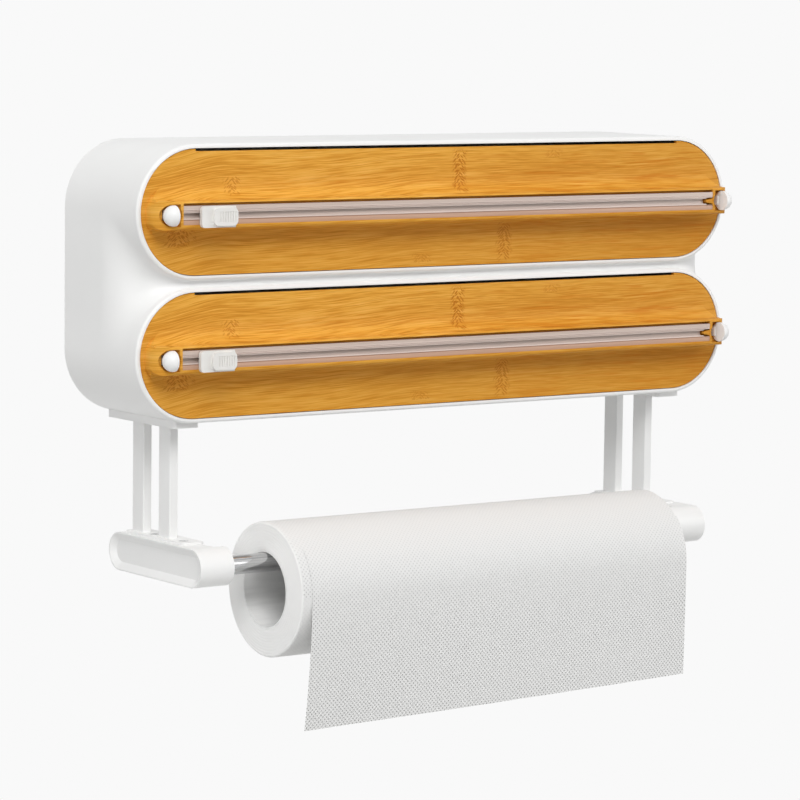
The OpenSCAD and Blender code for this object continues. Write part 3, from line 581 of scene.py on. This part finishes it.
def groove_skin():
    """The moulded surface between the two tubes: a shallow round groove along the front that runs
    out into each side between the tubes' round ends."""
    floor = RIM_Y + GROOVE_DEPTH
    corner_x, corner_y = HALF_W - GROOVE_ROUND, floor + GROOVE_ROUND
    plan = [(corner_x * i / FLOOR_STEPS, floor, 0.0) for i in range(FLOOR_STEPS)]
    for i in range(GROOVE_STEPS + 1):
        turn = math.radians(90 * i / GROOVE_STEPS)
        plan.append((corner_x + GROOVE_ROUND * math.sin(turn),
                     corner_y - GROOVE_ROUND * math.cos(turn), turn))
    work = bmesh.new()
    rows = []
    for step, (x, y, turn) in enumerate(plan):
        upper, lower = groove_section(x, y, turn)
        if step == len(plan) - 1:
            upper = [(z, reach - END_SINK) for z, reach in upper]
        nx, ny = math.sin(turn), -math.cos(turn)
        rows.append([(x + t * nx, y + t * ny, z) for z, t in upper + lower[::-1]])
    left = [[(-x, y, z) for x, y, z in row] for row in rows[:0:-1]]
    rings = [[work.verts.new(Vector(point) * MM) for point in row] for row in left + rows]
    bridge(work, rings)
    work.faces.new(rings[0])
    work.faces.new(rings[-1][::-1])
    bmesh.ops.recalc_face_normals(work, faces=work.faces)
    mesh = plain_mesh(work, "groove_between_tubes")
    mesh.set_sharp_from_angle(angle=SKIN_CREASE)
    new_piece("groove_between_tubes", mesh, "white_plastic", "cabinet")


groove_skin()


# Wound roll: the rounding of its edges, and the rings that its layers show on each end
ROLL_EDGE = 1.3 * MM
EDGE_STEPS = 6
ROLL_RINGS = 9
RING_STEPS = 4
RING_DEPTH = 0.14 * MM
ROLL_SIDES = 160
ROLL_STEPS = 40
# Its softness: waves round it, how far they drift in radians for each metre along it, their
# height, and how far its skin lies in from the construction's, so that the sheet lies over it
SOFT_WAVES = 4
SOFT_DRIFT = 14
SOFT_HEIGHT = 0.035 * MM
SKIN_IN = 0.12 * MM


def roll_profile(low, high, inner, outer):
    """Points of the roll's section as pairs of X and radius, from the left bore to the right one."""
    end = []
    steps = ROLL_RINGS * RING_STEPS
    for i in range(steps):
        share = i / steps
        radius = inner + (outer - ROLL_EDGE - inner) * share
        end.append((RING_DEPTH * 0.5 * (1 - math.cos(TURN * ROLL_RINGS * share)), radius))
    for i in range(EDGE_STEPS + 1):
        angle = math.radians(90 * i / EDGE_STEPS)
        end.append((ROLL_EDGE * (1 - math.cos(angle)), outer - ROLL_EDGE * (1 - math.sin(angle))))
    left = [(low + inset, radius) for inset, radius in end]
    right = [(high - inset, radius) for inset, radius in reversed(end)]
    skin_low, skin_high = left[-1][0], right[0][0]
    skin = [(skin_low + (skin_high - skin_low) * i / ROLL_STEPS, outer) for i in range(1, ROLL_STEPS)]
    return left + skin + right


def wound_roll():
    """The towel roll: its section turned about its own middle, a little soft in its roundness."""
    low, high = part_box("paper_roll")
    core_low, core_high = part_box("roll_core")
    _, middle_y, middle_z = middle_of("paper_roll")
    outer, inner = (high[2] - low[2]) / 2, (core_high[2] - core_low[2]) / 2
    section = roll_profile(low[0], high[0], inner, outer)
    phases = [random.uniform(0, TURN) for _ in range(SOFT_WAVES)]
    work = bmesh.new()
    layer = work.loops.layers.uv.new("sheet")
    rings = []
    for i in range(ROLL_SIDES):
        angle = TURN * i / ROLL_SIDES
        ring = []
        for x, radius in section:
            soft = sum(math.sin((n + 2) * angle + phases[n] + x * SOFT_DRIFT * n)
                       for n in range(SOFT_WAVES))
            share = (radius - inner) / (outer - inner)
            out = radius + share * share * soft * SOFT_HEIGHT - share * SKIN_IN
            ring.append(work.verts.new(
                (x, middle_y - out * math.cos(angle), middle_z + out * math.sin(angle))))
        rings.append(ring)
    count = len(section)
    for i in range(ROLL_SIDES):
        here, there = rings[i], rings[(i + 1) % ROLL_SIDES]
        for k in range(count):
            m = (k + 1) % count
            face = work.faces.new((here[k], here[m], there[m], there[k]))
            face.smooth = True
            # The end faces take their place from the radius, so that no dot smears across them
            for loop, step, point in zip(face.loops, (i, i, i + 1, i + 1), (k, m, m, k)):
                x, radius = section[point]
                around = -step * TURN / ROLL_SIDES * outer
                loop[layer].uv = (x + (outer - radius), around)
    bmesh.ops.recalc_face_normals(work, faces=work.faces)
    mesh = plain_mesh(work, "wound_towel_roll")
    piece = new_piece("wound_towel_roll", mesh, "tissue", "paper_roll", "paper_roll")
    return piece, outer, middle_y, middle_z


# Hanging sheet: its gap to the roll, the share of it where the sheet begins, the heights of its
# lower corners, how far each of these curls back to the wall, and how late the curl grows
SHEET_GAP = 0.12 * MM
SHEET_START = 0.3
SHEET_CORNER_LEFT = -229.6 * MM
SHEET_CORNER_RIGHT = -222.0 * MM
CURL_LEFT = 6.0 * MM
CURL_RIGHT = 1.5 * MM
CURL_POWER = 1.8
# Waves across it, which grow towards its foot: how many, the first one's turn in radians and its
# height, and how late they grow
WAVES = 5
WAVE_TURN = 2.2
WAVE_HEIGHT = 0.9 * MM
WAVE_POWER = 1.5
SHEET_COLUMNS = 120
SHEET_WRAP_ROWS = 24
SHEET_HANG_ROWS = 60
# How far the construction's sheet reaches out from the roll, where it begins
SHEET_OUT = 0.9 * MM


def hanging_sheet(roll, outer, middle_y, middle_z):
    """The loose end of the towel: it leaves the roll at its front and hangs with its own curl."""
    low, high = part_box("paper_tail")
    radius = outer + SHEET_GAP
    wrap = math.asin(min(1.0, (high[2] - middle_z) / (outer + SHEET_OUT)))
    work = bmesh.new()
    layer = work.loops.layers.uv.new("sheet")
    phases = [random.uniform(0, TURN) for _ in range(WAVES)]
    rows, places = [], []
    total = SHEET_WRAP_ROWS + SHEET_HANG_ROWS
    for j in range(total + 1):
        row, place = [], []
        for i in range(SHEET_COLUMNS + 1):
            across = i / SHEET_COLUMNS
            x = low[0] + (high[0] - low[0]) * across
            if j <= SHEET_WRAP_ROWS:
                angle = wrap * (1 - j / SHEET_WRAP_ROWS)
                # The sheet grows out of the roll's skin where it begins
                lift = SHEET_START + (1 - SHEET_START) * j / SHEET_WRAP_ROWS
                reach = outer + SHEET_GAP * lift
                y, z = middle_y - reach * math.cos(angle), middle_z + reach * math.sin(angle)
                run = -angle * outer
            else:
                share = (j - SHEET_WRAP_ROWS) / SHEET_HANG_ROWS
                foot = SHEET_CORNER_LEFT + (SHEET_CORNER_RIGHT - SHEET_CORNER_LEFT) * across
                z = middle_z + (foot - middle_z) * share
                curl = CURL_LEFT + (CURL_RIGHT - CURL_LEFT) * across
                wave = sum(math.sin(WAVE_TURN * (n + 1) * across + phases[n]) / (n + 1)
                           for n in range(WAVES))
                y = (middle_y - radius + curl * share ** CURL_POWER
                     + wave * WAVE_HEIGHT * share ** WAVE_POWER)
                run = middle_z - z
            row.append(work.verts.new((x, y, z)))
            place.append((x, run))
        rows.append(row)
        places.append(place)
    for j in range(total):
        for i in range(SHEET_COLUMNS):
            face = work.faces.new((rows[j][i], rows[j + 1][i], rows[j + 1][i + 1], rows[j][i + 1]))
            face.smooth = True
            corners = (places[j][i], places[j + 1][i], places[j + 1][i + 1], places[j][i + 1])
            for loop, corner in zip(face.loops, corners):
                loop[layer].uv = corner
    mesh = plain_mesh(work, "hanging_towel_sheet")
    piece = new_piece("hanging_towel_sheet", mesh, "tissue", "cabinet", "paper_tail")


towel_roll, roll_radius, roll_y, roll_z = wound_roll()
hanging_sheet(towel_roll, roll_radius, roll_y, roll_z)


# Points of a CAD mesh that lie nearer than this are one corner
WELD = 0.001 * MM


def group_middle(group):
    """Middle of some corner points, rounded so that equal ones sort alike."""
    return tuple(round(value, 5) for value in sum(group, Vector()) / len(group))


def islands(node_name):
    """Corner points of each separate solid of a CAD node, from left to right and from low to
    high."""
    work = bmesh.new()
    work.from_mesh(nodes[node_name].data)
    bmesh.ops.remove_doubles(work, verts=work.verts, dist=WELD)
    left, groups = set(work.verts), []
    for start in work.verts:
        if start not in left:
            continue
        left.discard(start)
        stack, group = [start], []
        while stack:
            vert = stack.pop()
            group.append(vert.co.copy())
            for edge in vert.link_edges:
                other = edge.other_vert(vert)
                if other in left:
                    left.discard(other)
                    stack.append(other)
        groups.append(group)
    work.free()
    return sorted(groups, key=group_middle)


def geometry_tree(name, inputs):
    """An empty geometry tree with named inputs, the function that adds a node to it, and those
    inputs."""
    tree = bpy.data.node_groups.new(name, "GeometryNodeTree")
    tree.interface.new_socket("Geometry", in_out="INPUT", socket_type="NodeSocketGeometry")
    tree.interface.new_socket("Geometry", in_out="OUTPUT", socket_type="NodeSocketGeometry")
    for label, kind in inputs:
        tree.interface.new_socket(label, in_out="INPUT", socket_type="NodeSocket" + kind)
    node = functools.partial(add, tree)
    return tree, node, node("NodeGroupInput").outputs


def grown(name, tree, values, points=()):
    """The plain mesh that a geometry tree grows from those points with those named values."""
    base = bpy.data.meshes.new(name)
    base.from_pydata(points, [], [])
    holder = placed(name + "_base", base)
    modifier = holder.modifiers.new(name, "NODES")
    modifier.node_group = tree
    for item in tree.interface.items_tree:
        if item.name in values:
            modifier[item.identifier] = values[item.name]
    bpy.context.view_layer.update()
    evaluated = holder.evaluated_get(bpy.context.evaluated_depsgraph_get())
    mesh = bpy.data.meshes.new_from_object(evaluated)
    mesh.name = name
    bpy.data.objects.remove(holder)
    return mesh


# Corners along one turn of a spring and round its wire, and how far the buttons and the bar go
COIL_STEPS = 24
WIRE_SIDES = 10
BUTTON_TRAVEL = 1.6 * MM
BAR_TRAVEL = 5.8 * MM
# Each spring: its CAD node, its body, the joint that presses it, its wire radius, turns and travel
SPRINGS = [
    (f"{row}_{side}_button_spring", f"{row}_drawer", f"{row}_{side}_button_press",
     0.18 * MM, 4.5, BUTTON_TRAVEL)
    for row in ("upper", "lower") for side in ("left", "right")]
SPRINGS.append(("bar_spring", "cabinet", "towel_bar_push", 0.4 * MM, 6.5, BAR_TRAVEL))


def coil_tree():
    """A closed wire wound round the X axis."""
    tree, node, given = geometry_tree("wound_wire", [
        ("Turns", "Float"), ("Coil radius", "Float"), ("Wire radius", "Float"), ("Length", "Float"),
        ("Start", "Vector"), ("Finish", "Material")])
    radius = given["Coil radius"]
    line = node("GeometryNodeCurveSpiral", Resolution=COIL_STEPS, Rotations=given["Turns"],
                Start_Radius=radius, End_Radius=radius, Height=given["Length"])
    wire = node("GeometryNodeCurvePrimitiveCircle", Resolution=WIRE_SIDES, Radius=given["Wire radius"])
    tube = node("GeometryNodeCurveToMesh", Curve=line, Profile_Curve=wire, Fill_Caps=True)
    laid = node("GeometryNodeTransform", Geometry=tube, Rotation=(0, math.radians(90), 0),
                Translation=given["Start"])
    smooth = node("GeometryNodeSetShadeSmooth", Geometry=laid)
    node("NodeGroupOutput", Geometry=node(
        "GeometryNodeSetMaterial", Geometry=smooth, Material=given["Finish"]))
    return tree


def wound_springs():
    """Each spring as wound wire in the place of its CAD node."""
    tree = coil_tree()
    for node_name, body, joint, wire, turns, travel in SPRINGS:
        low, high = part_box(node_name)
        length = high[0] - low[0]
        _, middle_y, middle_z = middle_of(node_name)
        mesh = grown(node_name + "_coil", tree, {
            "Turns": turns, "Coil radius": (high[2] - low[2]) / 2 - wire, "Wire radius": wire,
            "Length": length - 2 * wire, "Start": (low[0] + wire, middle_y, middle_z),
            "Finish": FINISHES["steel"]})
        piece = new_piece(node_name + "_coil", mesh, "steel", body, node_name)
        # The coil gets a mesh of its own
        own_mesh(piece)


wound_springs()

SCREW_SIDES = 24
SCREW_CREASE = math.radians(45)
# Thread: its pitch, its depth as a share of the shank's radius, how steep its flanks are, rows of
# corners for each turn of it, and the plain neck under the head as a share of the pitch
THREAD_PITCH = 1.1 * MM
THREAD_DEPTH = 0.2
THREAD_FLANK = 5
THREAD_ROWS = 6
NECK = 0.3
# Point: its length, and the radius of its very tip as a share of the shank's
TIP_LENGTH = 1.6 * MM
TIP_RADIUS = 0.12
# Head from its underside up: pairs of depth under its top and radius, as shares of its own
HEAD_PROFILE = ((1, 1), (0.45, 1), (0.15, 0.93), (0, 0.76))
# Cross recess: half length and half width as shares of the head's radius, its floor as a share of
# its own size, and its depth as a share of the head's height
CROSS_LONG = 0.52
CROSS_WIDE = 0.15
CROSS_FLOOR = 0.7
CROSS_DEPTH = 0.62
# Each group of screws and its body
SCREW_GROUPS = [
    ("back_cover_screws", "cabinet"), ("upper_panel_screws", "upper_drawer"),
    ("lower_panel_screws", "lower_drawer"), ("top_plate_screws", "cabinet"),
    ("arm_screws", "cabinet")]
# Shares of the head's radius over which a corner belongs to the head, and off the screw's axis
ON_HEAD = 0.9
OFF_AXIS = 0.1


def screw_mesh(length, shank, head, thickness):
    """A self-tapping pan-head screw with its head's top at the origin and its point down -Z."""
    work = bmesh.new()
    angles = [TURN * i / SCREW_SIDES for i in range(SCREW_SIDES)]
    rows = [(-length, [TIP_RADIUS * shank] * SCREW_SIDES)]
    neck = -thickness - NECK * THREAD_PITCH
    steps = math.ceil((neck + length) / (THREAD_PITCH / THREAD_ROWS))
    for i in range(1, steps + 1):
        z = -length + (neck + length) * i / steps
        taper = min(1, TIP_RADIUS + (1 - TIP_RADIUS) * (z + length) / TIP_LENGTH)
        row = []
        for angle in angles:
            phase = (z / THREAD_PITCH - angle / TURN) % 1
            crest = max(0, 1 - abs(phase - 0.5) * THREAD_FLANK)
            row.append(shank * taper * (1 - THREAD_DEPTH * (1 - crest)))
        rows.append((z, row))
    rows.append((-thickness, [shank * (1 - THREAD_DEPTH)] * SCREW_SIDES))
    for deep, wide in HEAD_PROFILE:
        rows.append((-deep * thickness, [wide * head] * SCREW_SIDES))
    rings = [[work.verts.new((r * math.cos(a), r * math.sin(a), z)) for r, a in zip(row, angles)]
             for z, row in rows]
    bridge(work, rings)
    work.faces.new(rings[0][::-1])
    long, wide = CROSS_LONG * head, CROSS_WIDE * head
    outline = [(long, -wide), (long, wide), (wide, wide), (wide, long), (-wide, long),
               (-wide, wide), (-long, wide), (-long, -wide), (-wide, -wide), (-wide, -long),
               (wide, -long), (wide, -wide)]
    top = [work.verts.new((x, y, 0)) for x, y in outline]
    deep = -CROSS_DEPTH * thickness
    foot = [work.verts.new((x * CROSS_FLOOR, y * CROSS_FLOOR, deep)) for x, y in outline]
    for k in range(len(outline)):
        m = (k + 1) % len(outline)
        work.faces.new((top[k], top[m], foot[m], foot[k]))
    work.faces.new(foot)
    rim = [work.edges.get((ring[k], ring[(k + 1) % len(ring)])) for ring in (rings[-1], top)
           for k in range(len(ring))]
    bmesh.ops.triangle_fill(work, use_beauty=True, edges=rim)
    bmesh.ops.recalc_face_normals(work, faces=work.faces)
    mesh = plain_mesh(work, "pan_head_screw")
    mesh.set_sharp_from_angle(angle=SCREW_CREASE)
    return mesh


def screw_tree():
    """The same screw, turned one way, at each point."""
    tree, node, given = geometry_tree("screws_at_points", [
        ("Screw", "Object"), ("Turn", "Vector"), ("Finish", "Material")])
    shape = node("GeometryNodeObjectInfo", Object=given["Screw"]).outputs["Geometry"]
    spread = node("GeometryNodeInstanceOnPoints", Points=given["Geometry"], Instance=shape,
                  Rotation=given["Turn"])
    real = node("GeometryNodeRealizeInstances", Geometry=spread)
    node("NodeGroupOutput", Geometry=node(
        "GeometryNodeSetMaterial", Geometry=real, Material=given["Finish"]))
    return tree


def screw_measure(solid):
    """Top of a screw, the way its head faces, and its length, shank and head radius and head
    height, all from the corner points of its solid."""
    low = Vector([min(point[k] for point in solid) for k in range(3)])
    high = Vector([max(point[k] for point in solid) for k in range(3)])
    axis = max(range(3), key=lambda k: high[k] - low[k])
    middle = (low + high) / 2
    spread = [((point - middle).length_squared - (point[axis] - middle[axis]) ** 2) ** 0.5
              for point in solid]
    head = max(spread)
    heads = [point[axis] for point, reach in zip(solid, spread) if reach > ON_HEAD * head]
    way = 1 if sum(heads) / len(heads) > middle[axis] else -1
    top = middle.copy()
    top[axis] = high[axis] if way > 0 else low[axis]
    shank = min(reach for reach in spread if reach > OFF_AXIS * head)
    facing = Vector([way if k == axis else 0 for k in range(3)])
    return top, facing, (high[axis] - low[axis], shank, head, max(heads) - min(heads))


def threaded_screws():
    """Each group of screws with its real heads and threads, where the construction has its
    solids."""
    tree = screw_tree()
    for group, body in SCREW_GROUPS:
        measured = [screw_measure(solid) for solid in islands(group)]
        places = [top for top, _, _ in measured]
        _, facing, sizes = measured[-1]
        pattern = placed("screw_pattern", screw_mesh(*sizes))
        turn = Vector((0, 0, 1)).rotation_difference(facing).to_euler()
        values = {"Screw": pattern, "Turn": tuple(turn), "Finish": FINISHES["steel"]}
        mesh = grown(group + "_threaded", tree, values, places)
        bpy.data.objects.remove(pattern)
        new_piece(group + "_threaded", mesh, "steel", body, group)


threaded_screws()


def make_camera():
    """The camera that took the photograph, as it was fitted to the object's outlines."""
    forward = Vector((math.sin(CAMERA_YAW) * math.cos(CAMERA_PITCH),
                      math.cos(CAMERA_YAW) * math.cos(CAMERA_PITCH), -math.sin(CAMERA_PITCH)))
    right = Vector((math.cos(CAMERA_YAW), -math.sin(CAMERA_YAW), 0))
    up = right.cross(forward)
    side = right * math.cos(CAMERA_ROLL) + up * math.sin(CAMERA_ROLL)
    head = up * math.cos(CAMERA_ROLL) - right * math.sin(CAMERA_ROLL)
    turn = Matrix((side, head, -forward)).transposed().to_4x4()
    data = bpy.data.cameras.new("photo_camera")
    data.lens = CAMERA_LENS
    data.sensor_width = CAMERA_SENSOR
    data.clip_end = CAMERA_FAR
    camera = placed("photo_camera", data)
    camera.matrix_world = Matrix.Translation(CAMERA_PLACE) @ turn
    bpy.context.scene.camera = camera


def area_lamp(name, place, size, power):
    """A round white lamp of a size and power that looks at the cabinet."""
    data = bpy.data.lights.new(name, "AREA")
    data.shape = "DISK"
    data.size = size
    data.energy = power
    lamp = placed(name, data)
    lamp.location = place
    lamp.rotation_euler = (Vector(LAMP_AIM) - Vector(place)).to_track_quat("-Z", "Y").to_euler()


# Strength of the studio's soft light from above, from the sides and from below, and its tint
SKY_TOP = 0.60
SKY_SIDE = 0.10
SKY_LOW = 0.15
SKY_TINT = "#FFFFFF"
# Each lamp: its name, its place in metres, its width and its power in watts
LAMPS = [
    ("key", (-0.9, -1.6, 1.4), 1.2, 29),
    ("fill", (1.6, -1.4, 0.5), 1.4, 14),
    ("side", (-1.9, -0.4, 0.3), 1.2, 9),
]
LAMP_AIM = (0, 0, -0.05)
BACKDROP = "#F9F9F9"
# Floor: its tone, how much of the backdrop it shows instead, and its height and half width in metres
FLOOR_TONE = "#F4F4F3"
FLOOR_PALE = 0.85
FLOOR_LOW = -0.75
FLOOR_HALF = 1.2


def make_world():
    """A plain pale surround: the world lights the object softly, and is its pale backdrop."""
    world = bpy.data.worlds.new("studio")
    world.use_nodes = True
    bpy.context.scene.world = world
    world.node_tree.nodes.clear()
    node = functools.partial(add, world.node_tree)
    way = node(AXES, None, node(PLACE).outputs["Generated"]).outputs["Z"]
    over = node(RANGE, None, way, 0, 1, SKY_SIDE, SKY_TOP)
    under = node(RANGE, None, way, -1, 0, SKY_LOW, SKY_SIDE)
    light = node(MIX, {"data_type": "FLOAT"}, node(MATH, "GREATER_THAN", way, 0.0), under, over)
    soft = node("ShaderNodeBackground", Color=srgb(SKY_TINT), Strength=light)
    backdrop = node("ShaderNodeBackground", Color=srgb(BACKDROP), Strength=1.0)
    shown = node("ShaderNodeMixShader", None, seen_directly(node), soft, backdrop)
    node("ShaderNodeOutputWorld", Surface=shown)


def seen_directly(node):
    """One for a ray from the camera, a mirror or glass, which show the backdrop; else zero."""
    path = node("ShaderNodeLightPath")
    bounced = node(MATH, "MAXIMUM", path.outputs["Is Glossy Ray"], path.outputs["Is Transmission Ray"])
    return node(MATH, "MAXIMUM", path.outputs["Is Camera Ray"], bounced)


def make_floor():
    """The pale floor lies far below the hung object: the backdrop's own tone, with a faint shadow."""
    corners = [(x * FLOOR_HALF, y * FLOOR_HALF, FLOOR_LOW)
               for x, y in ((-1, -1), (1, -1), (1, 1), (-1, 1))]
    mesh = bpy.data.meshes.new("pale_floor")
    mesh.from_pydata(corners, [], [(0, 1, 2, 3)])
    material, node = new_material("pale_paper_floor")
    paper = node("ShaderNodeBsdfPrincipled", Base_Color=srgb(FLOOR_TONE), Roughness=0.9,
                 Specular_IOR_Level=0.1)
    backdrop = node("ShaderNodeEmission", Color=srgb(BACKDROP), Strength=1.0)
    share = node(MATH, "MULTIPLY", seen_directly(node), FLOOR_PALE)
    node("ShaderNodeOutputMaterial", Surface=node("ShaderNodeMixShader", None, share, paper, backdrop))
    mesh.materials.append(material)
    placed("pale_floor", mesh)


make_camera()
make_world()
make_floor()
for lamp in LAMPS:
    area_lamp(*lamp)
bpy.context.scene.view_settings.view_transform = "Standard"
